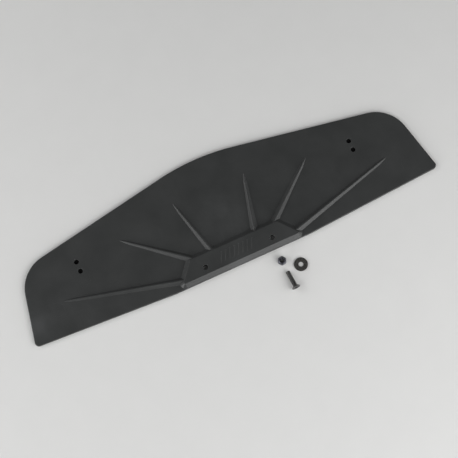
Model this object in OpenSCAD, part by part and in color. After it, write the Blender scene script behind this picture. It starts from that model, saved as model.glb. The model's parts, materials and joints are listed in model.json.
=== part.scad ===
// Front spoiler plate of a large radio-controlled touring car, with its screw, washer and lock nut.
// X runs across the span, +Y to the leading edge and +Z up from the surface that the plate lies on.
// The origin is midway between the two pad holes, level with the underside.

/* [Plate] */
// Span, tip to tip at the rear corners
span = 379.6; // [300:0.2:460]
// Depth on the centre line, trailing edge to crown
chord = 102.4; // [84:0.2:125]
// Thickness of the moulded plate
plate_t = 2.5; // [2:0.1:3]
// Sweep of the two straight leading edges, in degrees
lead_sweep = 10.1; // [6:0.1:12]
// Sweep of the two straight trailing edges, in degrees
trail_sweep = 3.4; // [0:0.1:5]
// Lean of the tip edges towards the centre, in degrees
tip_lean = 11.7; // [5:0.1:15]
// Radius of the crown between the leading edges
crown_r = 200; // [120:5:260]
// Radius of the front corner of each tip
tip_r = 31.6; // [15:0.2:38]
// Radius of the rear corner of each tip
rear_r = 3.5; // [2:0.5:8]

/* [Pad] */
// Width of the pad's flat top along its rear edge
pad_w = 110.2; // [92:0.2:132]
// Depth of the pad's flat top, front to back
pad_d = 17.5; // [15:0.5:21]
// Height of the pad above the plate
pad_h = 3.4; // [2.8:0.1:4]
// Run of the sloping walls, seen from above
pad_run = 3.7; // [3:0.1:4.5]
// Slant of the pad's two ends, in degrees
pad_slant = 39; // [30:1:48]
// Corner radius of the pad's flat top
pad_r = 1; // [0.6:0.1:2]

/* [Holes] */
// Distance between the two pad holes
pad_hole_gap = 62.7; // [52:0.1:72]
// How much wider the pad holes are than the screw's thread
pad_hole_play = 0.3; // [0.1:0.1:0.8]
// Distance of the pad holes ahead of the rear edge
pad_hole_in = 10; // [9:0.1:13]
// Diameter of the bosses around the pad holes, inside the hollow pad
boss_d = 9; // [7:0.5:11]
// Distance between the two holes of a tip pair
tip_hole_gap = 8.8; // [8:0.1:14]
// How much wider the tip holes are than the screw's thread
tip_hole_play = 0.3; // [0.1:0.1:0.8]
// Distance of a tip pair's centre from the tip edge
tip_hole_side = 49.3; // [36:0.1:56]
// Distance of a tip pair's centre behind the leading edge
tip_hole_back = 25; // [20:0.1:30]

/* [Ribs] */
// Width of a rib where it leaves the pad
rib_w = 6.2; // [5:0.1:7]
// Height of a rib where it leaves the pad
rib_h = 2.7; // [2:0.1:2.8]
// Width of a rib at its far end
rib_end_w = 3.2; // [2.2:0.1:4]
// Height of a rib at its far end
rib_end_h = 1; // [0.4:0.1:1.6]
// Width of a rib's flat crest
crest_w = 1.2; // [0.6:0.1:1.6]
// Length over which a rib's far end slopes down to the plate
rib_nose = 4; // [2:0.5:8]
// Directions of the outer, middle and inner ribs, in degrees from the span
rib_turn = [14.9, 39.4, 75.6]; // [10:0.1:85]
// Distance of the outer ribs' root ahead of the rear edge
outer_rib_y = 8.3; // [7:0.1:11]
// Distance of the inner ribs' root from the centre line
inner_rib_x = 21.2; // [16:0.1:26]
// Distance that the outer ribs stop short of the tip edge
outer_rib_stop = 34; // [24:0.5:44]
// Distance that the middle and inner ribs stop short of the leading edge
front_rib_stop = 28; // [22:0.5:36]

/* [Screw, washer and nut] */
// Thread diameter that the screw and the nut share
thread_d = 4; // [3.4:0.1:4.2]
// Overall length of the screw, head included
screw_l = 16; // [13:1:20]
// Outer diameter of the washer
washer_d = 12; // [10:0.1:14]
// Thickness of the washer
washer_t = 1; // [0.8:0.1:1.2]
// Width of the nut across its flats
nut_w = 7; // [6.4:0.1:8]
// Height of the nut, collar included
nut_h = 5; // [4.4:0.1:6]

/* [Hidden] */
$fn = 64;

moulded_black = "#2d2e2e";
blued_steel = "#303236";
oiled_steel = "#3b3b3a";
dark_nylon = "#202124";

// Screw holes, wide enough to pass the thread
pad_hole_d = thread_d + pad_hole_play;
tip_hole_d = thread_d + tip_hole_play;

// Lines of the plan, from the pad holes' line
rear_y = -pad_hole_in;
crown_y = rear_y + chord;
pad_rear_y = rear_y + pad_run;
pad_front_y = pad_rear_y + pad_d;
pad_base_half = pad_w / 2 + pad_run * (tan(pad_slant) + 1 / cos(pad_slant));
pad_top = plate_t + pad_h;
// Narrow land left between the pad's foot and the plate's rear edge
pad_land = 0.1;

// Outward directions of the three straight edges on the right-hand side
trail_out = trail_sweep - 90;
tip_out = tip_lean;
lead_out = 90 - lead_sweep;

function dir(a) = [cos(a), sin(a)];

// Point whose distances along two directions are given
function meet(a, da, b, db) =
    let (m = dir(a), n = dir(b), det = m.x * n.y - m.y * n.x)
    [(da * n.y - db * m.y) / det, (db * m.x - da * n.x) / det];

function arc(c, r, from, to, steps) =
    [for (i = [0 : steps]) c + r * dir(from + (to - from) * i / steps)];

// Centres of the outline's four arcs, each tangent to the straight edges beside it
crown_c = [0, crown_y - crown_r];
rear_c = meet(trail_out, dir(trail_out) * [pad_base_half, rear_y] - rear_r, 0, span / 2 - rear_r);
tip_c = meet(
    tip_out, dir(tip_out) * rear_c + rear_r - tip_r,
    lead_out, dir(lead_out) * crown_c + crown_r - tip_r);

right_half = concat(
    [[pad_base_half, rear_y]],
    arc(rear_c, rear_r, trail_out, tip_out, 10),
    arc(tip_c, tip_r, tip_out, lead_out, 20),
    arc(crown_c, crown_r, lead_out, 90, 8));
left_half = [for (i = [len(right_half) - 2 : -1 : 0]) [-right_half[i].x, right_half[i].y]];

// Distances of the tip edge and the straight leading edge from the origin
tip_edge = dir(tip_out) * tip_c + tip_r;
lead_edge = dir(lead_out) * tip_c + tip_r;

tip_hole = meet(tip_out, tip_edge - tip_hole_side, lead_out, lead_edge - tip_hole_back);

module outline() {
    polygon(concat(right_half, left_half));
}

// Corners of the pad's flat top, moved inwards by e
function pad_corner(side, depth, e) = [
    side * (pad_w / 2 - depth * tan(pad_slant) - e / cos(pad_slant)),
    pad_rear_y + depth];

// Block with rounded corners and sloping walls above a straight foot
module pad_block(e, foot, z_low, r_low, z_high, r_high) {
    hull()
    for (side = [-1, 1], depth = [e, pad_d - e])
        translate(concat(pad_corner(side, depth, e), z_low)) {
            cylinder(r1 = r_low, r2 = r_high, h = z_high - z_low, $fn = 32);
            translate([0, 0, -foot]) cylinder(r = r_low, h = foot, $fn = 32);
        }
}

// Hollow under the pad, one plate thickness inside its walls and its top, around the two screw bosses
module pad_core() {
    inset = 1.5;
    r_low = pad_r + pad_run - plate_t + inset;
    r_high = pad_r + inset + plate_t * (pad_run - norm([pad_run, pad_h])) / pad_h;
    difference() {
        pad_block(pad_r + inset, 1, 0, r_low, pad_h, r_high);
        for (side = [-1, 1])
            translate([side * pad_hole_gap / 2, 0, -2])
            cylinder(d = boss_d, h = pad_top + 2);
    }
}

// Each right-hand rib: its root at the pad, its direction, and the edge that it stops short of
ribs = [
    [[pad_base_half - outer_rib_y * tan(pad_slant), rear_y + outer_rib_y],
        rib_turn[0], tip_out, tip_edge - outer_rib_stop],
    [[pad_w / 2 - pad_d * tan(pad_slant), pad_front_y + 0.75 * pad_run],
        rib_turn[1], lead_out, lead_edge - front_rib_stop],
    [[inner_rib_x, pad_front_y + pad_run],
        rib_turn[2], lead_out, lead_edge - front_rib_stop]];

// Rib along +X: a ridge with a flat crest that narrows and sinks, and a nose that dips into the plate
module rib(length) {
    buried = 3;
    dip = 0.1;
    low = plate_t - 0.3;
    stations = [
        [-buried, rib_w, crest_w, rib_h],
        [length - rib_nose, rib_end_w, crest_w, rib_end_h],
        [length, crest_w, crest_w / 2, -dip]];
    points = [
        for (s = stations)
            each [[s[0], -s[1] / 2, low], [s[0], s[1] / 2, low],
                [s[0], s[2] / 2, plate_t + s[3]], [s[0], -s[2] / 2, plate_t + s[3]]]];
    sides = [for (k = [0, 4], i = [0 : 3]) [k + i, k + i + 4, k + (i + 1) % 4 + 4, k + (i + 1) % 4]];
    polyhedron(points, concat([[0, 1, 2, 3]], sides, [[11, 10, 9, 8]]));
}

module hole(p, d) {
    translate([p.x, p.y, -1])
    cylinder(d = d, h = pad_top + 2);
}

module spoiler_plate() {
    color(moulded_black)
    difference() {
        union() {
            linear_extrude(plate_t) outline();
            pad_block(pad_r, plate_t / 2, plate_t, pad_r + pad_run - pad_land, pad_top, pad_r);
            for (r = ribs, side = [0, 1])
                mirror([side, 0, 0])
                translate(r[0])
                rotate(r[1])
                rib((r[3] - dir(r[2]) * r[0]) / (dir(r[2]) * dir(r[1])));
        }
        pad_core();
        for (side = [-1, 1]) {
            hole([side * pad_hole_gap / 2, 0], pad_hole_d);
            for (row = [-0.5, 0.5])
                hole([side * tip_hole.x, tip_hole.y + row * tip_hole_gap], tip_hole_d);
        }
    }
}

// The loose hardware lies behind the right-hand pad hole
kit_x = pad_hole_gap / 2;

head_d = 1.875 * thread_d;
head_rim = 0.35;
tip_chamfer = 0.125 * thread_d;
socket_w = 0.625 * thread_d;
socket_depth = 1.6;
// The screw rests on its head's rim and its tip, so its axis slopes
screw_slope = atan((head_d - thread_d) / 2 / (screw_l - tip_chamfer - head_rim));
screw_axis_z = head_rim * sin(screw_slope) + head_d / 2 * cos(screw_slope);

module countersunk_screw() {
    cone_h = (head_d - thread_d) / 2;
    color(blued_steel)
    translate([kit_x + 0.2, rear_y - 22.1 - screw_l, screw_axis_z])
    rotate([-90 - screw_slope, 0, 2])
    difference() {
        rotate_extrude()
        polygon([
            [0, 0], [head_d / 2, 0], [head_d / 2, head_rim], [thread_d / 2, head_rim + cone_h],
            [thread_d / 2, screw_l - tip_chamfer], [thread_d / 2 - tip_chamfer, screw_l], [0, screw_l]]);
        translate([0, 0, -1])
        cylinder(d = socket_w / cos(30), h = socket_depth + 1, $fn = 6);
    }
}

module flat_washer() {
    color(oiled_steel)
    translate([kit_x + 13, rear_y - 20.9, 0])
    difference() {
        cylinder(d = washer_d, h = washer_t);
        translate([0, 0, -1]) cylinder(d = thread_d + 0.3, h = washer_t + 2);
    }
}

hex_h = 0.7 * nut_h;
nut_bore_d = 0.825 * thread_d;
insert_d = 1.3 * thread_d;
insert_low = 0.64 * nut_h;
insert_high = 0.92 * nut_h;

module at_nut() {
    translate([kit_x - 0.6, rear_y - 11.6, 0])
    rotate(8)
    children();
}

module lock_nut() {
    corner_r = nut_w / 2 / cos(30);
    collar_r = 0.46 * nut_w;
    lip_r = insert_d / 2 - 0.35;
    color(blued_steel)
    at_nut()
    difference() {
        union() {
            intersection() {
                cylinder(r = corner_r, h = hex_h, $fn = 6);
                rotate_extrude()
                polygon([
                    [0, 0], [nut_w / 2 - 0.1, 0], [corner_r, 0.35],
                    [corner_r, hex_h - 0.35], [nut_w / 2 - 0.1, hex_h], [0, hex_h]]);
            }
            rotate_extrude()
            polygon([
                [0, 1], [collar_r, 1], [collar_r, insert_high - 0.5],
                [lip_r + 0.25, nut_h], [0, nut_h]]);
        }
        translate([0, 0, -1]) cylinder(d = nut_bore_d, h = nut_h);
        translate([0, 0, insert_low]) cylinder(d = insert_d, h = insert_high - insert_low);
        translate([0, 0, nut_h / 2]) cylinder(r = lip_r, h = nut_h);
    }
}

module nut_insert() {
    color(dark_nylon)
    at_nut()
    translate([0, 0, insert_low])
    difference() {
        cylinder(d = insert_d, h = insert_high - insert_low);
        translate([0, 0, -1]) cylinder(d = thread_d - 0.3, h = nut_h);
    }
}

spoiler_plate();
countersunk_screw();
flat_washer();
lock_nut();
nut_insert();
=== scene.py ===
import json
from math import atan2, cos, degrees, hypot, pi, radians, sin, tan

import bpy
from mathutils import Matrix, Vector


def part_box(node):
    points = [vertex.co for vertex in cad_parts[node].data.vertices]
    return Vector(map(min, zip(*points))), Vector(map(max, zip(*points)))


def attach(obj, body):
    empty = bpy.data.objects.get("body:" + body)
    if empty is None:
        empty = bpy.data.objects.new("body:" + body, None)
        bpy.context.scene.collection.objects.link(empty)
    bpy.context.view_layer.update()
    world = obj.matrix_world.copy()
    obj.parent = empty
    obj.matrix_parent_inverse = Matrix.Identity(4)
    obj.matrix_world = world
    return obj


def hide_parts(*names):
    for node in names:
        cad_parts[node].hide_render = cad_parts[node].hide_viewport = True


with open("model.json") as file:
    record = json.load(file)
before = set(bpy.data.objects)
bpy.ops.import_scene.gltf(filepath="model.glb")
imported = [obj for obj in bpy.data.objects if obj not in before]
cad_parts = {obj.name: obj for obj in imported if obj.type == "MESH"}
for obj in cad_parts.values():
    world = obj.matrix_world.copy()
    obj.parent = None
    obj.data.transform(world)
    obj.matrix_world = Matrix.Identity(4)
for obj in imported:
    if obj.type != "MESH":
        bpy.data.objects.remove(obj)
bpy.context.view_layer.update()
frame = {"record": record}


# ---------------------------------------------------------------------------------------------
# Camera. It stands over the plate, behind the rear edge and towards the left tip, and looks down
# at it through a long lens.
mm = 0.001
camera_place = Vector((-123.0, -245.7, 1170.2)) * mm
camera_azimuth = radians(-24.8)
camera_elevation = radians(75.78)

camera_data = bpy.data.cameras.new("camera")
camera_data.sensor_width = 36
camera_data.lens = 109.7
camera = bpy.data.objects.new("camera", camera_data)
bpy.context.scene.collection.objects.link(camera)
camera.location = camera_place
camera.rotation_euler = (pi / 2 - camera_elevation, 0, camera_azimuth)
bpy.context.scene.camera = camera


# ---------------------------------------------------------------------------------------------
# Studio. A pale matt sheet to lie on, and soft boxes standing round the table, most of them low
# and off the left tip or beyond the rear edge, with next to no light from above.
floor_size = 6
floor_tone = (0.80, 0.80, 0.79)
world_light = 0.03
plate_middle = Vector((0, 40, 0)) * mm
# Soft boxes: direction round the plate in degrees from +X, height of the middle in degrees,
# distance, width, height, power in watts.
soft_boxes = {
    "left_low": (-159.8, 12, 1.2, 0.7, 0.35, 5.0),
    "left": (155.2, 30, 1.2, 0.8, 0.5, 4.9),
    "left_high": (-159.8, 50, 1.2, 0.7, 0.6, 1.4),
    "right_low": (-69.8, 12, 1.2, 0.7, 0.35, 3.1),
    "right": (-69.8, 30, 1.2, 0.8, 0.5, 4.1),
    "right_high": (-69.8, 50, 1.2, 0.7, 0.6, 2.4),
    "far_right_low": (-24.8, 12, 1.2, 0.7, 0.35, 1.8),
    "far_right": (-24.8, 30, 1.2, 0.8, 0.5, 2.4),
    "back_left": (110.2, 30, 1.2, 0.8, 0.5, 1.3),
    "back_right": (20.2, 30, 1.2, 0.8, 0.5, 0.7),
}


def nodes_of(name):
    """A new material's node tree as it is made, with its Principled shader."""
    material = bpy.data.materials.new(name)
    material.use_nodes = True
    tree = material.node_tree
    return material, tree, tree.nodes["Principled BSDF"]


def node(tree, kind, **settings):
    """Adds a node. A setting that names a socket sets it or links to it, and others set the node."""
    made = tree.nodes.new("ShaderNode" + kind)
    for key, value in settings.items():
        if key in ("operation", "blend_type", "noise_dimensions", "feature", "data_type",
                   "node_tree", "samples", "inside", "only_local", "distance_metric"):
            setattr(made, key, value)
            continue
        numbered = key[:2] == "in" and key[2:].isdigit()
        socket = made.inputs[int(key[2:]) if numbered else key.replace("_", " ")]
        if isinstance(value, bpy.types.NodeSocket):
            tree.links.new(value, socket)
        else:
            socket.default_value = value
    return made


def ramp(tree, value, low, high, out_low=0.0, out_high=1.0):
    """Maps a value from the range low..high to out_low..out_high, held inside that range."""
    made = node(tree, "MapRange", in0=value, in1=low, in2=high, in3=out_low, in4=out_high)
    made.clamp = True
    return made.outputs[0]


bpy.ops.object.select_all(action="DESELECT")
bpy.ops.mesh.primitive_plane_add(size=floor_size)
floor = bpy.context.object
floor.name = "table_sheet"
paper, tree, shader = nodes_of("table_paper")
place = node(tree, "TexCoord").outputs["Object"]
fibre = node(tree, "TexNoise", Vector=place, Scale=40.0, Detail=4.0).outputs["Fac"]
tone = node(tree, "Mix", data_type="RGBA", in0=ramp(tree, fibre, 0.3, 0.7))
tone.inputs[6].default_value = (*[c * 0.985 for c in floor_tone], 1)
tone.inputs[7].default_value = (*floor_tone, 1)
tree.links.new(tone.outputs[2], shader.inputs["Base Color"])
shader.inputs["Roughness"].default_value = 0.9
shader.inputs["Specular IOR Level"].default_value = 0.2
floor.data.materials.append(paper)

for name, (around, rise, distance, width, height, power) in soft_boxes.items():
    light = bpy.data.lights.new(name + "_soft_box", "AREA")
    light.shape = "RECTANGLE"
    light.size = width
    light.size_y = height
    light.energy = power
    box = bpy.data.objects.new(light.name, light)
    bpy.context.scene.collection.objects.link(box)
    towards = Vector((
        cos(radians(around)) * cos(radians(rise)), sin(radians(around)) * cos(radians(rise)),
        sin(radians(rise))))
    box.location = plate_middle + towards * distance
    box.rotation_euler = towards.to_track_quat("Z", "Y").to_euler()

world = bpy.data.worlds.new("studio")
world.use_nodes = True
world.node_tree.nodes["Background"].inputs["Color"].default_value = (1, 1, 1, 1)
world.node_tree.nodes["Background"].inputs["Strength"].default_value = world_light
bpy.context.scene.world = world
bpy.context.scene.view_settings.view_transform = "Standard"


# ---------------------------------------------------------------------------------------------
# Spoiler plate: one injection moulding in black glass-filled nylon. A swept blade, a cored pad
# that screws to the bumper through two bosses, and six ribs that spread out from the pad.
plate_low, plate_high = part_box("spoiler_plate")
mounts = {mount["name"]: mount for mount in frame["record"]["mounts"]}
half_span = plate_high.x
crown_y = plate_high.y
rear_y = plate_low.y
plate_t = 2.5 * mm
pad_h = plate_high.z - plate_t
rim_round = 0.7 * mm
rim_round_below = 0.35 * mm
lead_out = 90 - 10.1
trail_out = 3.4 - 90
tip_out = 11.7
crown_r = 200 * mm
tip_r = 31.6 * mm
rear_r = 3.5 * mm

pad_half = 55.1 * mm
pad_d = 17.5 * mm
pad_run = 3.7 * mm
pad_slant = 39
pad_r = 1 * mm
pad_edge_round = 0.45 * mm
pad_foot_round = 0.6 * mm
pad_rear_y = rear_y + pad_run
pad_front_y = pad_rear_y + pad_d
pad_foot_half = pad_half + pad_run * (tan(radians(pad_slant)) + 1 / cos(radians(pad_slant)))

rib_w = 6.2 * mm
rib_h = 2.7 * mm
rib_crest = 0.6 * mm
rib_end_w = 3.2 * mm
rib_end_h = 1 * mm
rib_nose = 10 * mm
rib_fade = 4 * mm
rib_foot_round = 0.8 * mm
rib_buried = 3 * mm
rib_turns = (14.9, 39.4, 75.6)
outer_rib_y = 8.3 * mm
inner_rib_x = 21.2 * mm
outer_rib_stop = 34 * mm
front_rib_stop = 28 * mm

hole_r = mounts["pad_holes"]["dims"]["hole_r_mm"] * mm
mouth_round = 0.35 * mm
boss_r = 4.5 * mm
core_inset = 1.5 * mm


def nothing_selected():
    if bpy.context.object and bpy.context.object.mode != "OBJECT":
        bpy.ops.object.mode_set(mode="OBJECT")
    bpy.ops.object.select_all(action="DESELECT")


def work_on(piece):
    nothing_selected()
    piece.select_set(True)
    bpy.context.view_layer.objects.active = piece


def choose(piece, kind, test):
    """Enters edit mode with the vertices, edges or faces selected for which test is true."""
    work_on(piece)
    bpy.ops.object.mode_set(mode="EDIT")
    bpy.ops.mesh.select_mode(type=kind)
    bpy.ops.mesh.select_all(action="DESELECT")
    bpy.ops.object.mode_set(mode="OBJECT")
    mesh = piece.data
    for item in {"VERT": mesh.vertices, "EDGE": mesh.edges, "FACE": mesh.polygons}[kind]:
        item.select = bool(test(item))
    bpy.ops.object.mode_set(mode="EDIT")


def settle(piece):
    """Moves a piece's place, turn and scale into its mesh."""
    work_on(piece)
    bpy.ops.object.transform_apply(location=True, rotation=True, scale=True)
    return piece


def begin(name, place):
    """Starts a drawing: a piece of one selected vertex, in edit mode."""
    nothing_selected()
    bpy.ops.mesh.primitive_plane_add(size=mm, location=place)
    bpy.context.object.name = name
    bpy.ops.object.mode_set(mode="EDIT")
    bpy.ops.mesh.select_mode(type="VERT")
    bpy.ops.mesh.merge(type="CENTER")
    return bpy.context.object


def line(start, end):
    """Draws a straight edge from the selected vertex, which is at start."""
    bpy.ops.mesh.extrude_region_move(TRANSFORM_OT_translate={"value": end - start})
    return end


def swing(start, centre, turn, steps, axis=Vector((0, 0, 1))):
    """Draws an arc from the selected vertex, anticlockwise about the axis, by degrees."""
    bpy.ops.mesh.spin(steps=steps, angle=radians(turn), center=centre, axis=-axis)
    return centre + Matrix.Rotation(radians(turn), 3, axis) @ (start - centre)


def facing(angle):
    """Unit vector in the plan, at an angle in degrees from +X."""
    return Vector((cos(radians(angle)), sin(radians(angle)), 0))


def meet(angle_a, distance_a, angle_b, distance_b):
    """Point of the plan whose distances along two directions are given."""
    a, b = facing(angle_a), facing(angle_b)
    across = a.x * b.y - a.y * b.x
    return Vector((distance_a * b.y - distance_b * a.y, distance_b * a.x - distance_a * b.x, 0)) / across


def both_halves(piece):
    """Mirrors a drawn right-hand half to the left and fills the outline with one face."""
    settle(piece)
    mirror = piece.modifiers.new("left half", "MIRROR")
    mirror.merge_threshold = 0.01 * mm
    bpy.ops.object.modifier_apply(modifier=mirror.name)
    bpy.ops.object.mode_set(mode="EDIT")
    bpy.ops.mesh.select_all(action="SELECT")
    bpy.ops.mesh.edge_face_add()
    bpy.ops.object.mode_set(mode="OBJECT")
    faces_down = piece.data.polygons[0].normal.z < 0
    choose(piece, "FACE", lambda face: True)
    if faces_down:
        bpy.ops.mesh.flip_normals()
    return piece


def step_in(run, rise):
    """Insets the selected top face by a run and lifts it by a rise."""
    bpy.ops.mesh.inset(thickness=run, depth=rise, use_even_offset=True)


def outwards(piece):
    """Turns every face of a closed piece outwards."""
    choose(piece, "FACE", lambda face: True)
    bpy.ops.mesh.normals_make_consistent(inside=False)
    bpy.ops.object.mode_set(mode="OBJECT")


def combine(piece, tool, operation):
    """Joins a tool piece to a piece, cuts it out, or keeps what both share."""
    work_on(piece)
    step = piece.modifiers.new("combine", "BOOLEAN")
    step.operation = operation
    step.solver = "EXACT"
    step.object = tool
    bpy.ops.object.modifier_apply(modifier=step.name)
    bpy.data.objects.remove(tool)


def close_gaps(piece):
    """Closes pinholes of a few edges that cutting leaves."""
    choose(piece, "FACE", lambda face: True)
    bpy.ops.mesh.remove_doubles(threshold=0.0005 * mm)
    bpy.ops.mesh.fill_holes(sides=6)
    bpy.ops.object.mode_set(mode="OBJECT")


def turned(name, place, profile, sides=64):
    """A round solid: its half profile of (radius, height) points, spun about a vertical axis."""
    points = [place + Vector((radius, 0, height)) for radius, height in profile]
    piece = begin(name, points[0])
    for start, end in zip(points, points[1:]):
        line(start, end)
    bpy.ops.mesh.select_all(action="SELECT")
    bpy.ops.mesh.spin(steps=sides, angle=2 * pi, center=place, axis=(0, 0, 1))
    bpy.ops.mesh.select_all(action="SELECT")
    bpy.ops.mesh.remove_doubles(threshold=0.001 * mm)
    settle(piece)
    outwards(piece)
    return piece


# The blade: its plan is drawn as straight edges and arcs, filled, raised, and its rims rounded.
foot_corner = Vector((pad_foot_half, rear_y, 0))
rear_c = meet(trail_out, facing(trail_out).dot(foot_corner) - rear_r, 0, half_span - rear_r)
crown_c = Vector((0, crown_y - crown_r, 0))
tip_c = meet(
    tip_out, facing(tip_out).dot(rear_c) + rear_r - tip_r,
    lead_out, facing(lead_out).dot(crown_c) + crown_r - tip_r)

pen = Vector((0, rear_y, 0))
plate = begin("moulded_spoiler_plate", pen)
pen = line(pen, foot_corner)
pen = line(pen, rear_c + rear_r * facing(trail_out))
pen = swing(pen, rear_c, tip_out - trail_out, 12)
pen = line(pen, tip_c + tip_r * facing(tip_out))
pen = swing(pen, tip_c, lead_out - tip_out, 28)
pen = line(pen, crown_c + crown_r * facing(lead_out))
swing(pen, crown_c, 90 - lead_out, 12)
both_halves(plate)
bpy.ops.mesh.extrude_region_move(TRANSFORM_OT_translate={"value": (0, 0, plate_t)})
outwards(plate)
for height, radius, segments in ((plate_t, rim_round, 4), (0, rim_round_below, 2)):
    choose(plate, "EDGE", lambda edge: all(
        abs(plate.data.vertices[v].co.z - height) < 0.01 * mm for v in edge.vertices))
    bpy.ops.mesh.bevel(offset=radius, segments=segments, affect="EDGES", clamp_overlap=False)
    bpy.ops.object.mode_set(mode="OBJECT")

# The pad: its foot is drawn in plan, then stepped in and up along a flared foot, a sloping wall
# and a rounded upper edge.
def pad_outline(name, inset, radius, height, rear_gap):
    """The pad's plan. Its corners have their centres inset from the flat top's edges, and its rear
    edge stays a gap ahead of the blade's."""
    slant = radians(pad_slant)

    def corner(depth):
        return Vector((
            pad_half - depth * tan(slant) - inset / cos(slant), pad_rear_y + depth, height))

    back, front = corner(rear_y + rear_gap + radius - pad_rear_y), corner(pad_d - inset)
    pen = Vector((0, back.y - radius, height))
    piece = begin(name, pen)
    pen = line(pen, back + radius * facing(-90))
    pen = swing(pen, back, 90 + pad_slant, 12)
    pen = line(pen, front + radius * facing(pad_slant))
    pen = swing(pen, front, 90 - pad_slant, 6)
    line(pen, Vector((0, front.y + radius, height)))
    return both_halves(piece)


slope = atan2(pad_h, pad_run)
flare = pad_foot_round * tan(slope / 2)
ease = pad_edge_round * tan(slope / 2)
bend_steps = 4


def bend(radius, from_angle, to_angle):
    """Runs and rises of the steps along a bend between two slopes."""
    for i in range(bend_steps):
        a = from_angle + (to_angle - from_angle) * (i + 0.5) / bend_steps
        length = 2 * radius * sin(abs(to_angle - from_angle) / bend_steps / 2)
        yield length * cos(a), length * sin(a)


sink = 0.03 * mm
pad = pad_outline("pad", pad_r, pad_r + pad_run + flare, plate_t - sink, 0.02 * mm)
step_list = list(bend(pad_foot_round, 0, slope))
wall = hypot(pad_run, pad_h) - flare - ease
step_list += [(wall * cos(slope), wall * sin(slope))]
step_list += list(bend(pad_edge_round, slope, 0))
for run, rise in step_list:
    step_in(run, rise)
choose(pad, "FACE", lambda face: True)
bpy.ops.mesh.select_all(action="DESELECT")
bpy.ops.mesh.select_mode(type="EDGE")
bpy.ops.mesh.select_non_manifold()
bpy.ops.mesh.extrude_region_move(TRANSFORM_OT_translate={"value": (0, 0, -plate_t / 2)})
bpy.ops.mesh.edge_face_add()
outwards(pad)
combine(plate, pad, "UNION")


# The ribs: a ridge section with flared feet and a round crest, pushed out along the rib and
# drawn in at each station, down to a long pointed nose.
def rib(name, length):
    """A rib along +X, its root buried in the pad, standing on the blade."""
    half = rib_w / 2
    flank = atan2(rib_h, half - rib_crest)
    crest_r = (half * tan(flank) - rib_h) / (1 / cos(flank) - 1)
    reach = half + rib_foot_round * tan(flank / 2)
    deep = Vector((0, 0, -1 * mm))
    up = Vector((0, 0, 1))
    along = Vector((1, 0, 0))
    root = Vector((-rib_buried, 0, plate_t))
    bow = Vector((0, sin(flank), cos(flank)))
    crest_c = root + up * (rib_h - crest_r)
    feet = [root + Vector((0, side * reach, 0)) for side in (1, -1)]
    piece = begin(name, feet[0] + deep)
    pen = line(feet[0] + deep, feet[0])
    pen = swing(pen, feet[0] + up * rib_foot_round, -degrees(flank), 3, along)
    pen = line(pen, crest_c + crest_r * bow)
    pen = swing(pen, crest_c, 2 * degrees(flank), 8, along)
    pen = line(pen, feet[1] + up * rib_foot_round - Vector((0, -bow.y, bow.z)) * rib_foot_round)
    pen = swing(pen, feet[1] + up * rib_foot_round, -degrees(flank), 3, along)
    line(pen, pen + deep)
    bpy.ops.mesh.select_all(action="SELECT")
    bpy.ops.mesh.remove_doubles(threshold=0.001 * mm)
    bpy.ops.mesh.edge_face_add()
    bpy.ops.mesh.select_mode(type="FACE")
    straight = length + rib_fade - rib_nose
    stations = [(0, rib_w, rib_h)]
    for share in (0.25, 0.5, 0.75, 1):
        stations.append((
            straight * share, rib_w + (rib_end_w - rib_w) * share,
            rib_h + (rib_end_h - rib_h) * share))
    for share in (0.2, 0.4, 0.6, 0.8, 1):
        stations.append((
            straight + rib_nose * share, rib_end_w * (1 - 0.8 * share),
            rib_end_h * (1.02 - share ** 1.3)))
    place, width, height = -rib_buried, rib_w, rib_h
    for station, new_width, new_height in stations:
        bpy.ops.mesh.extrude_region_move(
            TRANSFORM_OT_translate={"value": (station - place, 0, 0)})
        bpy.ops.transform.resize(
            value=(1, new_width / width, new_height / height),
            center_override=(station, 0, plate_t))
        place, width, height = station, new_width, new_height
    bpy.ops.mesh.select_all(action="SELECT")
    bpy.ops.transform.translate(value=(0, 0, -sink))
    return settle(piece)


tip_edge = facing(tip_out).dot(tip_c) + tip_r
lead_edge = facing(lead_out).dot(tip_c) + tip_r
rib_plan = [
    (Vector((pad_foot_half - outer_rib_y * tan(radians(pad_slant)), rear_y + outer_rib_y, 0)),
        rib_turns[0], tip_out, tip_edge - outer_rib_stop),
    (Vector((pad_half - pad_d * tan(radians(pad_slant)), pad_front_y + 0.75 * pad_run, 0)),
        rib_turns[1], lead_out, lead_edge - front_rib_stop),
    (Vector((inner_rib_x, pad_front_y + pad_run, 0)),
        rib_turns[2], lead_out, lead_edge - front_rib_stop)]
for root, turn, stop_out, stop in rib_plan:
    length = (stop - facing(stop_out).dot(root)) / facing(stop_out).dot(facing(turn))
    for side in (1, -1):
        piece = rib("rib", length)
        piece.rotation_euler.z = radians(turn)
        piece.location = root
        settle(piece)
        piece.scale.x = side
        settle(piece)
        outwards(piece)
        combine(plate, piece, "UNION")

# The hollow under the pad, around the two bosses, and the holes with rounded mouths.
core_r = pad_r + pad_run - plate_t + core_inset
core_r_top = pad_r + core_inset + plate_t * (pad_run - hypot(pad_run, pad_h)) / pad_h
core = pad_outline("core", pad_r + core_inset, core_r, 0, plate_t)
step_in(core_r - core_r_top, pad_h)
choose(core, "EDGE", lambda edge: False)
bpy.ops.mesh.select_non_manifold()
bpy.ops.mesh.extrude_region_move(TRANSFORM_OT_translate={"value": (0, 0, -1 * mm)})
bpy.ops.mesh.edge_face_add()
outwards(core)
pad_hole_x = mounts["pad_holes"]["dims"]["spacing_x_mm"] * mm / 2
for side in (-1, 1):
    boss = turned("boss", Vector((side * pad_hole_x, 0, 0)), [
        (0, -2 * mm), (boss_r - 0.4 * mm, -2 * mm), (boss_r - 0.4 * mm, 0),
        (boss_r, 0.4 * mm), (boss_r, pad_h + 1 * mm), (0, pad_h + 1 * mm)])
    combine(core, boss, "DIFFERENCE")
combine(plate, core, "DIFFERENCE")


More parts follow.
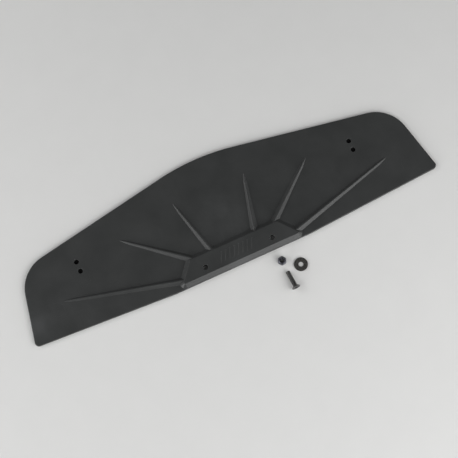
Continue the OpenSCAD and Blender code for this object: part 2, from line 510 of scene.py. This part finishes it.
def quarter(radius, height, steps=5):
    """Points of a hole's rounded mouth, from its bore out to a face at a height, facing up."""
    for i in range(steps):
        a = pi / 2 * i / (steps - 1)
        yield radius + mouth_round * (1 - cos(a)), height - mouth_round * (1 - sin(a))


def hole(place, top):
    """Cuts a screw hole from the underside to top, with rounded mouths."""
    profile = [(0, -1 * mm), (hole_r + mouth_round, -1 * mm)]
    profile += [(radius, -height) for radius, height in reversed(list(quarter(hole_r, 0)))]
    profile += list(quarter(hole_r, top))
    profile += [(hole_r + mouth_round, top + 1 * mm), (0, top + 1 * mm)]
    combine(plate, turned("hole", place, profile, 48), "DIFFERENCE")


for side in (-1, 1):
    hole(Vector((side * pad_hole_x, 0, 0)), plate_t + pad_h)

# Only for the studio: a near-black matt disc, painted shade, lies under each pair of tip holes, so that
# the thin blade's holes read as dark as the deep ones in the pad.
shade_disc_r = 12 * mm
shade_disc_lift = 0.02 * mm
# The disc's near-black colour is painted shade for the floor seen through the tip holes.
shade_disc_material, tree, shader = nodes_of("black_card")
fibre = node(tree, "TexNoise", Vector=node(tree, "TexCoord").outputs["Object"], Scale=900.0,
             Detail=4.0).outputs["Fac"]
tree.links.new(ramp(tree, fibre, 0.3, 0.7, 0.010, 0.018), shader.inputs["Base Color"])
shader.inputs["Roughness"].default_value = 0.95
shader.inputs["Specular IOR Level"].default_value = 0.1
for name in ("tip_holes_left", "tip_holes_right"):
    middle = Vector(mounts[name]["pos_m"])
    middle.z = 0
    nothing_selected()
    bpy.ops.mesh.primitive_circle_add(
        vertices=48, radius=shade_disc_r, fill_type="NGON", location=middle + Vector((0, 0, shade_disc_lift)))
    shade_disc = bpy.context.object
    shade_disc.name = name + "_card"
    shade_disc.data.materials.append(shade_disc_material)
    for row in (-0.5, 0.5):
        hole(middle + Vector((0, row * mounts[name]["dims"]["spacing_y_mm"] * mm, 0)), plate_t)

# A row of slanted grooves in the pad's top. On the blade, next to one old scratch, the round
# witnesses of the mould's inserts show faintly. Underneath are the ejector marks and the recess
# around the cut-off gate.
bar_count = 8
bar_w = 2.2 * mm
bar_length = 10 * mm
bar_pitch = 4.1 * mm
bar_depth = 0.45 * mm
bar_lean = radians(-24)
bars_middle = Vector((-1.2, 2.6, 0)) * mm
witness_r = 6 * mm
witness_depth = 0.05 * mm
witnesses = ((156.6, 51.1), (168.5, 11.6), (-160.7, 19.7), (-131.0, 34.1))
ejector_r = 3 * mm
ejector_depth = 0.12 * mm
ejectors = (
    (40, 45), (-40, 45), (88, 22), (-88, 22), (100, 60), (-100, 60), (150, 14), (-150, 14),
    (172, 40), (-172, 40), (0, 80))
scratch_middle = Vector((-42.8, 68.4, 2.5)) * mm
scratch_lean = radians(33.7)
scratch_length = 15.5 * mm
scratch_w = 0.8 * mm
scratch_depth = 0.07 * mm
gate = Vector((0, 48, 0)) * mm
gate_r = 4 * mm
gate_depth = 0.4 * mm
nub_r = 1.2 * mm
nub_gap = 0.12 * mm
below = 0.5 * mm

def groove(place, lean, length, width, depth):
    """Cuts a straight V groove along +Y turned by lean, its upper edges level with place."""
    nothing_selected()
    bpy.ops.mesh.primitive_cylinder_add(
        vertices=4, radius=1, depth=length, location=place, rotation=(pi / 2, 0, lean),
        scale=(width / 2, depth, 1))
    combine(plate, settle(bpy.context.object), "DIFFERENCE")


for i in range(bar_count):
    along_row = (i - (bar_count - 1) / 2) * bar_pitch
    groove(bars_middle + Vector((along_row, 0, plate_t + pad_h)), bar_lean, bar_length, bar_w,
           bar_depth)
groove(scratch_middle, scratch_lean, scratch_length, scratch_w, scratch_depth)
for x, y in witnesses:
    combine(plate, turned("witness", Vector((x, y, 0)) * mm, [
        (0, plate_t - witness_depth), (witness_r, plate_t - witness_depth),
        (witness_r + 0.1 * mm, plate_t + 0.2 * mm), (0, plate_t + 0.2 * mm)]), "DIFFERENCE")
for x, y in ejectors:
    combine(plate, turned("ejector_mark", Vector((x, y, 0)) * mm, [
        (0, -below), (ejector_r, -below), (ejector_r, ejector_depth), (0, ejector_depth)],
        40), "DIFFERENCE")
combine(plate, turned("gate_recess", gate, [
    (0, -below), (gate_r + 0.3 * mm, -below), (gate_r, gate_depth), (nub_r, gate_depth),
    (nub_r - 0.15 * mm, nub_gap), (0, nub_gap)], 48), "DIFFERENCE")
close_gaps(plate)


def smooth(piece, angle):
    """Shades bends up to an angle smooth, and leaves broad faces flat up to their edges."""
    work_on(piece)
    bpy.ops.object.shade_smooth_by_angle(angle=radians(angle))
    weigh = piece.modifiers.new("even shading", "WEIGHTED_NORMAL")
    weigh.keep_sharp = True
    bpy.ops.object.modifier_apply(modifier=weigh.name)


smooth(plate, 35)


def effect(name, inputs, outputs):
    """A new node group, its sockets given as name and kind. Returns its tree, inlets and outlet."""
    group = bpy.data.node_groups.new(name, "ShaderNodeTree")
    for socket, kind in inputs:
        group.interface.new_socket(socket, in_out="INPUT", socket_type="NodeSocket" + kind)
    for socket, kind in outputs:
        group.interface.new_socket(socket, in_out="OUTPUT", socket_type="NodeSocket" + kind)
    return group, group.nodes.new("NodeGroupInput").outputs, group.nodes.new("NodeGroupOutput").inputs


def calc(tree, operation, *values):
    """Chains a Math node and returns its result."""
    return node(tree, "Math", operation=operation, **{
        "in" + str(i): value for i, value in enumerate(values)}).outputs[0]


def blend_colours(tree, share, first, second):
    """Mixes two colours by a share and returns the result."""
    made = node(tree, "Mix", data_type="RGBA")
    for socket, value in ((0, share), (6, first), (7, second)):
        if isinstance(value, bpy.types.NodeSocket):
            tree.links.new(value, made.inputs[socket])
        else:
            made.inputs[socket].default_value = value
    return made.outputs[2]


# Rubbed edges: where the surface turns sharply within a radius, broken up by noise.
rubbed, inlet, outlet = effect(
    "rubbed_edges", [("Place", "Vector"), ("Radius", "Float"), ("Patch size", "Float")],
    [("Mask", "Float")])
rounded = node(rubbed, "Bevel", samples=6, Radius=inlet["Radius"]).outputs["Normal"]
true_normal = node(rubbed, "NewGeometry").outputs["Normal"]
turn = node(rubbed, "VectorMath", operation="DOT_PRODUCT", in0=rounded, in1=true_normal)
patches = node(
    rubbed, "TexNoise", Vector=inlet["Place"], Scale=inlet["Patch size"], Detail=5.0,
    Roughness=0.65).outputs["Fac"]
edge = ramp(rubbed, turn.outputs["Value"], 0.995, 0.86)
rubbed.links.new(calc(rubbed, "MULTIPLY", edge, ramp(rubbed, patches, 0.38, 0.68)), outlet["Mask"])

# Mould grain: the fine spark-eroded texture, with a slow waviness from the melt under it.
grain, inlet, outlet = effect(
    "mould_grain", [("Place", "Vector"), ("Grain scale", "Float")],
    [("Height", "Float"), ("Tone", "Float")])
fine = node(grain, "TexNoise", Vector=inlet["Place"], Scale=inlet["Grain scale"], Detail=3.0,
            Roughness=0.7).outputs["Fac"]
pits = node(grain, "TexVoronoi", Vector=inlet["Place"],
            Scale=calc(grain, "MULTIPLY", inlet["Grain scale"], 0.7)).outputs["Distance"]
slow = node(grain, "TexNoise", Vector=inlet["Place"],
            Scale=calc(grain, "MULTIPLY", inlet["Grain scale"], 0.02), Detail=2.0).outputs["Fac"]
relief = calc(grain, "ADD", calc(grain, "MULTIPLY", fine, 0.6), calc(grain, "MULTIPLY", pits, 0.4))
grain.links.new(calc(grain, "ADD", relief, calc(grain, "MULTIPLY", slow, 3.0)), outlet["Height"])
grain.links.new(slow, outlet["Tone"])

# Hairline scratches in one direction: long thin cells whose cores are picked out.
hairlines, inlet, outlet = effect(
    "hairlines", [("Place", "Vector"), ("Direction", "Float"), ("Spacing", "Float")],
    [("Mask", "Float")])
spun = node(hairlines, "VectorRotate", Vector=inlet["Place"], Angle=inlet["Direction"])
long = node(hairlines, "VectorMath", operation="MULTIPLY", in0=spun.outputs[0],
            in1=(1.0, 40.0, 1.0))
wobble = node(hairlines, "TexNoise", Vector=long.outputs[0], Scale=inlet["Spacing"],
              Detail=1.0).outputs["Fac"]
core_line = ramp(hairlines, calc(hairlines, "ABSOLUTE", calc(
    hairlines, "SUBTRACT", wobble, 0.5)), 0.006, 0.0)
where = node(hairlines, "TexNoise", Vector=inlet["Place"],
             Scale=calc(hairlines, "MULTIPLY", inlet["Spacing"], 1.7)).outputs["Fac"]
hairlines.links.new(
    calc(hairlines, "MULTIPLY", core_line, ramp(hairlines, where, 0.55, 0.7)), outlet["Mask"])


def use(tree, group, **values):
    """Places an effect in a material with its own values."""
    return node(tree, "Group", node_tree=group, **values).outputs


nylon, tree, shader = nodes_of("moulded_black_nylon")
nylon_dark = (0.0335, 0.0352, 0.0350, 1)
nylon_light = (0.0425, 0.0442, 0.0440, 1)
# Pale colour for the rubbed edges and hairlines, and for the painted highlight and sheen of the lighter
# patches.
nylon_rubbed_and_sheen = (0.085, 0.088, 0.090, 1)
place = node(tree, "TexCoord").outputs["Object"]
skin = use(tree, grain, Place=place, Grain_scale=1900.0)
clouds = node(tree, "TexNoise", Vector=place, Scale=34.0, Detail=6.0, Roughness=0.62).outputs["Fac"]
worn = use(tree, rubbed, Place=place, Radius=0.0009, Patch_size=90.0)["Mask"]
lines = calc(tree, "ADD", use(tree, hairlines, Place=place, Direction=0.5, Spacing=26.0)["Mask"],
             use(tree, hairlines, Place=place, Direction=2.1, Spacing=19.0)["Mask"])
colour = blend_colours(tree, ramp(tree, clouds, 0.3, 0.7), nylon_dark, nylon_light)
wear_and_sheen_marks = calc(tree, "ADD", calc(tree, "MULTIPLY", worn, 0.55), calc(tree, "MULTIPLY", lines, 0.10))
# Lighter patches: middle, reach and strength of each. The one on the pad's rear face is a painted
# highlight and the broad one on the blade's middle a painted sheen; the two at the left tip and the one
# on the pad's top only lighten the colour there.
lighter_patches = (
    ((-0.181, 0.012, 0.0025), 0.016, 0.34), ((-0.160, 0.022, 0.0025), 0.034, 0.10),
    ((0.0, 0.033, 0.0025), 0.034, 0.20), ((-0.004, -0.009, 0.005), 0.013, 0.30),
    ((0.002, 0.004, 0.0075), 0.024, 0.10))
for middle, reach, strength in lighter_patches:
    away = node(tree, "VectorMath", operation="DISTANCE", in0=place, in1=middle).outputs["Value"]
    patch = ramp(tree, clouds, 0.38, 0.62, 0.3, 1.0)
    patch = calc(tree, "MULTIPLY", patch, ramp(tree, away, reach, reach * 0.2, 0.0, strength))
    wear_and_sheen_marks = calc(tree, "ADD", wear_and_sheen_marks, patch)
# Mixes towards the pale colour: real wear on edges and hairlines, painted highlight and sheen in the
# patches.
colour = blend_colours(tree, wear_and_sheen_marks, colour, nylon_rubbed_and_sheen)
tree.links.new(colour, shader.inputs["Base Color"])
rough = ramp(tree, clouds, 0.3, 0.7, 0.39, 0.46)
tree.links.new(calc(tree, "SUBTRACT", rough, calc(tree, "MULTIPLY", worn, 0.08)),
               shader.inputs["Roughness"])
bump = node(tree, "Bump", Strength=0.35, Distance=0.00003, Height=skin["Height"])
tree.links.new(bump.outputs["Normal"], shader.inputs["Normal"])
plate.data.materials.clear()
plate.data.materials.append(nylon)
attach(plate, "plate")
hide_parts("spoiler_plate")


# ---------------------------------------------------------------------------------------------
# Countersunk screw: M4 x 16, cold headed and rolled from steel, blackened, with a hex socket.
# It lies loose on its head's rim and its tip.
kit_x = pad_hole_x
screw_l = 16 * mm
thread_r = 2 * mm
thread_core_r = 1.58 * mm
pitch = 0.7 * mm
head_r = 3.75 * mm
head_rim = 0.35 * mm
screw_tip = 0.5 * mm
socket_w = 2.5 * mm
socket_depth = 1.6 * mm
screw_slope = atan2(head_r - thread_r, screw_l - screw_tip - head_rim)
screw_axis_z = head_rim * sin(screw_slope) + head_r * cos(screw_slope)
screw_place = Vector((kit_x + 0.2 * mm, rear_y - 22.1 * mm - screw_l, screw_axis_z))
screw_turn = (-pi / 2 - screw_slope, 0, radians(2))
origin = Vector((0, 0, 0))


def soften(piece, width, segments=2):
    """Breaks a piece's sharp edges."""
    work_on(piece)
    bevel = piece.modifiers.new("broken edges", "BEVEL")
    bevel.width = width
    bevel.segments = segments
    bevel.limit_method = "ANGLE"
    bevel.angle_limit = radians(30)
    bpy.ops.object.modifier_apply(modifier=bevel.name)


def thread(name, root_r, crest_r, start, turns, steps=28):
    """A closed helical ridge about the Z axis: its section is drawn, screwed round and capped."""
    base = pitch * 0.46
    flat = pitch * 0.06
    corners = [Vector((root_r, 0, start - base)), Vector((crest_r, 0, start - flat)),
               Vector((crest_r, 0, start + flat)), Vector((root_r, 0, start + base))]
    piece = begin(name, corners[0])
    for first, second in zip(corners, corners[1:]):
        line(first, second)
    bpy.ops.mesh.select_all(action="SELECT")
    bpy.ops.mesh.edge_face_add()
    bpy.ops.mesh.delete(type="ONLY_FACE")
    settle(piece)
    helix = piece.modifiers.new("helix", "SCREW")
    helix.screw_offset = pitch
    helix.iterations = turns
    helix.steps = steps
    helix.render_steps = steps
    bpy.ops.object.modifier_apply(modifier=helix.name)
    choose(piece, "FACE", lambda face: True)
    bpy.ops.mesh.fill_holes(sides=0)
    bpy.ops.object.mode_set(mode="OBJECT")
    outwards(piece)
    return piece


cone = head_r - thread_r
screw = turned("countersunk_hex_screw", origin, [
    (0, 0), (head_r, 0), (head_r, head_rim), (thread_r, head_rim + cone),
    (thread_core_r, head_rim + cone + 0.5 * mm), (thread_core_r, screw_l - 0.1 * mm),
    (thread_core_r - 0.15 * mm, screw_l), (0, screw_l)], 56)
nothing_selected()
bpy.ops.mesh.primitive_cylinder_add(
    vertices=6, radius=socket_w / 2 / cos(pi / 6), depth=2 * socket_depth, location=origin)
combine(screw, settle(bpy.context.object), "DIFFERENCE")
soften(screw, 0.06 * mm, 2)
first_turn = head_rim + cone + 0.55 * mm
turns = int((screw_l - first_turn) / pitch) + 1
combine(screw, thread(
    "thread", thread_core_r - 0.08 * mm, thread_r - 0.015 * mm, first_turn, turns), "UNION")
combine(screw, turned("tip_shape", origin, [
    (0, -1 * mm), (head_r + 1 * mm, -1 * mm), (head_r + 1 * mm, screw_l - screw_tip),
    (thread_r, screw_l - screw_tip), (thread_r - screw_tip, screw_l),
    (thread_r - 1.6 * screw_tip, screw_l + 0.6 * screw_tip), (0, screw_l + 0.6 * screw_tip)], 56),
    "INTERSECT")
close_gaps(screw)
smooth(screw, 30)
screw.rotation_euler = screw_turn
screw.location = screw_place
settle(screw)

black_steel, tree, shader = nodes_of("blackened_steel")
place = node(tree, "TexCoord").outputs["Object"]
skin = use(tree, grain, Place=place, Grain_scale=5200.0)
worn = use(tree, rubbed, Place=place, Radius=0.00022, Patch_size=900.0)["Mask"]
patch = node(tree, "TexNoise", Vector=place, Scale=420.0, Detail=5.0, Roughness=0.6).outputs["Fac"]
colour = blend_colours(
    tree, ramp(tree, patch, 0.3, 0.7), (0.080, 0.080, 0.081, 1), (0.150, 0.147, 0.142, 1))
colour = blend_colours(tree, calc(tree, "MULTIPLY", worn, 0.6), colour, (0.42, 0.41, 0.40, 1))
tree.links.new(colour, shader.inputs["Base Color"])
shader.inputs["Metallic"].default_value = 0.85
tree.links.new(ramp(tree, patch, 0.25, 0.75, 0.34, 0.5), shader.inputs["Roughness"])
bump = node(tree, "Bump", Strength=0.3, Distance=0.00001, Height=skin["Height"])
tree.links.new(bump.outputs["Normal"], shader.inputs["Normal"])
screw.data.materials.clear()
screw.data.materials.append(black_steel)
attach(screw, "screw")
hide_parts("countersunk_screw")


# ---------------------------------------------------------------------------------------------
# Flat washer: punched from steel strip, so its upper edges are drawn in and its lower ones are
# sharp. Blackened and oiled, and rubbed on its face.
washer_low, washer_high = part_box("flat_washer")
washer_middle = Vector(((washer_low.x + washer_high.x) / 2, (washer_low.y + washer_high.y) / 2, 0))
washer_r = (washer_high.x - washer_low.x) / 2
washer_t = washer_high.z
washer_hole_r = 2.15 * mm
washer_roll = 0.22 * mm

washer = turned("punched_washer", washer_middle, [
    (washer_hole_r, 0), (washer_hole_r, washer_t - washer_roll),
    (washer_hole_r + washer_roll * 0.3, washer_t - washer_roll * 0.3),
    (washer_hole_r + washer_roll, washer_t), (washer_r - washer_roll, washer_t),
    (washer_r - washer_roll * 0.3, washer_t - washer_roll * 0.3),
    (washer_r, washer_t - washer_roll), (washer_r, 0), (washer_hole_r, 0)], 96)
soften(washer, 0.04 * mm, 2)
smooth(washer, 40)

oiled, tree, shader = nodes_of("oiled_washer_steel")
place = node(tree, "TexCoord").outputs["Object"]
skin = use(tree, grain, Place=place, Grain_scale=2600.0)
worn = use(tree, rubbed, Place=place, Radius=0.0003, Patch_size=700.0)["Mask"]
patch = node(tree, "TexNoise", Vector=place, Scale=900.0, Detail=4.0, Roughness=0.7).outputs["Fac"]
colour = blend_colours(
    tree, ramp(tree, patch, 0.35, 0.65), (0.040, 0.039, 0.037, 1), (0.130, 0.125, 0.117, 1))
colour = blend_colours(tree, calc(tree, "MULTIPLY", worn, 0.4), colour, (0.30, 0.29, 0.27, 1))
tree.links.new(colour, shader.inputs["Base Color"])
shader.inputs["Metallic"].default_value = 0.7
tree.links.new(ramp(tree, patch, 0.3, 0.7, 0.38, 0.55), shader.inputs["Roughness"])
bump = node(tree, "Bump", Strength=0.5, Distance=0.00003, Height=skin["Height"])
tree.links.new(bump.outputs["Normal"], shader.inputs["Normal"])
washer.data.materials.clear()
washer.data.materials.append(oiled)
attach(washer, "washer")
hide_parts("flat_washer")


# ---------------------------------------------------------------------------------------------
# Lock nut: cold-formed M4 hexagon with a turned-in collar, blackened. It stands on its washer
# face with the collar up, and its bore is threaded below the insert.
nut_low, nut_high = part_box("lock_nut")
nut_middle = Vector(((nut_low.x + nut_high.x) / 2, (nut_low.y + nut_high.y) / 2, 0))
nut_h = nut_high.z
nut_w = 7 * mm
nut_turn = radians(8)
corner_r = nut_w / 2 / cos(pi / 6)
hex_h = 0.7 * nut_h
collar_r = 0.46 * nut_w
nut_bore_r = 1.65 * mm
nut_root_r = 2.02 * mm
insert_low, insert_high = (corner.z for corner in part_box("nut_insert"))
insert_r = 2.6 * mm
lip_r = insert_r - 0.35 * mm

nothing_selected()
bpy.ops.mesh.primitive_cylinder_add(
    vertices=6, radius=corner_r, depth=hex_h, location=nut_middle + Vector((0, 0, hex_h / 2)),
    rotation=(0, 0, radians(30) + nut_turn))
nut = settle(bpy.context.object)
nut.name = "collared_lock_nut"
choose(nut, "EDGE", lambda edge: abs(
    nut.data.vertices[edge.vertices[0]].co.z - nut.data.vertices[edge.vertices[1]].co.z) > 1 * mm)
bpy.ops.mesh.bevel(offset=0.6 * mm, segments=4, affect="EDGES")
bpy.ops.object.mode_set(mode="OBJECT")
chamfer_r = nut_w / 2 - 0.1 * mm
chamfer = turned("chamfer", nut_middle, [
    (0, -0.5 * mm), (chamfer_r - 0.8 * mm, -0.5 * mm), (chamfer_r + 0.8 * mm, 0.5 * mm),
    (chamfer_r + 0.8 * mm, hex_h - 0.5 * mm), (chamfer_r - 0.8 * mm, hex_h + 0.5 * mm),
    (0, hex_h + 0.5 * mm)], 72)
combine(nut, chamfer, "INTERSECT")
collar = turned("collar", nut_middle, [
    (0, 1 * mm), (collar_r, 1 * mm), (collar_r, insert_high - 0.55 * mm),
    (collar_r - 0.06 * mm, insert_high - 0.25 * mm), (collar_r - 0.3 * mm, nut_h - 0.2 * mm),
    (lip_r + 0.45 * mm, nut_h - 0.03 * mm), (lip_r + 0.2 * mm, nut_h), (0, nut_h)], 72)
combine(nut, collar, "UNION")
bore = turned("bore", nut_middle, [
    (0, -1 * mm), (nut_root_r + 1.2 * mm, -1 * mm), (nut_root_r + 0.2 * mm, 0),
    (nut_root_r, 0.2 * mm), (nut_root_r, insert_low), (insert_r, insert_low),
    (insert_r, insert_high), (lip_r, insert_high + 0.05 * mm), (lip_r, nut_h - 0.1 * mm),
    (lip_r + 0.2 * mm, nut_h + 0.1 * mm), (0, nut_h + 0.1 * mm)], 72)
combine(nut, bore, "DIFFERENCE")
nut_thread = thread("nut_thread", nut_root_r + 0.06 * mm, nut_bore_r, 0.5 * mm, 3)
nut_thread.location = nut_middle
combine(nut, settle(nut_thread), "UNION")
close_gaps(nut)
smooth(nut, 30)

nut_steel, tree, shader = nodes_of("blackened_nut_steel")
place = node(tree, "TexCoord").outputs["Object"]
skin = use(tree, grain, Place=place, Grain_scale=4200.0)
worn = use(tree, rubbed, Place=place, Radius=0.00025, Patch_size=800.0)["Mask"]
patch = node(tree, "TexNoise", Vector=place, Scale=500.0, Detail=5.0, Roughness=0.6).outputs["Fac"]
colour = blend_colours(
    tree, ramp(tree, patch, 0.3, 0.7), (0.090, 0.093, 0.110, 1), (0.150, 0.155, 0.180, 1))
colour = blend_colours(tree, calc(tree, "MULTIPLY", worn, 0.5), colour, (0.34, 0.35, 0.38, 1))
tree.links.new(colour, shader.inputs["Base Color"])
shader.inputs["Metallic"].default_value = 0.9
tree.links.new(ramp(tree, patch, 0.3, 0.7, 0.26, 0.4), shader.inputs["Roughness"])
bump = node(tree, "Bump", Strength=0.3, Distance=0.00001, Height=skin["Height"])
tree.links.new(bump.outputs["Normal"], shader.inputs["Normal"])
nut.data.materials.clear()
nut.data.materials.append(nut_steel)
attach(nut, "nut")
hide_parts("lock_nut")


# ---------------------------------------------------------------------------------------------
# Nut insert: a plain ring of dark polyamide, pressed into the collar before its lip is turned in.
# The screw cuts its own thread in it.
insert_bore_r = 1.85 * mm
insert = turned("polyamide_ring", nut_middle, [
    (insert_bore_r, insert_low), (insert_r, insert_low), (insert_r, insert_high),
    (insert_bore_r + 0.15 * mm, insert_high), (insert_bore_r, insert_high - 0.15 * mm),
    (insert_bore_r, insert_low)], 72)
smooth(insert, 40)
polyamide, tree, shader = nodes_of("dark_polyamide")
place = node(tree, "TexCoord").outputs["Object"]
skin = use(tree, grain, Place=place, Grain_scale=3600.0)
cloud = node(tree, "TexNoise", Vector=place, Scale=600.0, Detail=3.0).outputs["Fac"]
colour = blend_colours(
    tree, ramp(tree, cloud, 0.3, 0.7), (0.012, 0.012, 0.016, 1), (0.020, 0.020, 0.026, 1))
tree.links.new(colour, shader.inputs["Base Color"])
tree.links.new(ramp(tree, cloud, 0.3, 0.7, 0.38, 0.5), shader.inputs["Roughness"])
bump = node(tree, "Bump", Strength=0.3, Distance=0.00001, Height=skin["Height"])
tree.links.new(bump.outputs["Normal"], shader.inputs["Normal"])
insert.data.materials.clear()
insert.data.materials.append(polyamide)
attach(insert, "nut")
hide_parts("nut_insert")
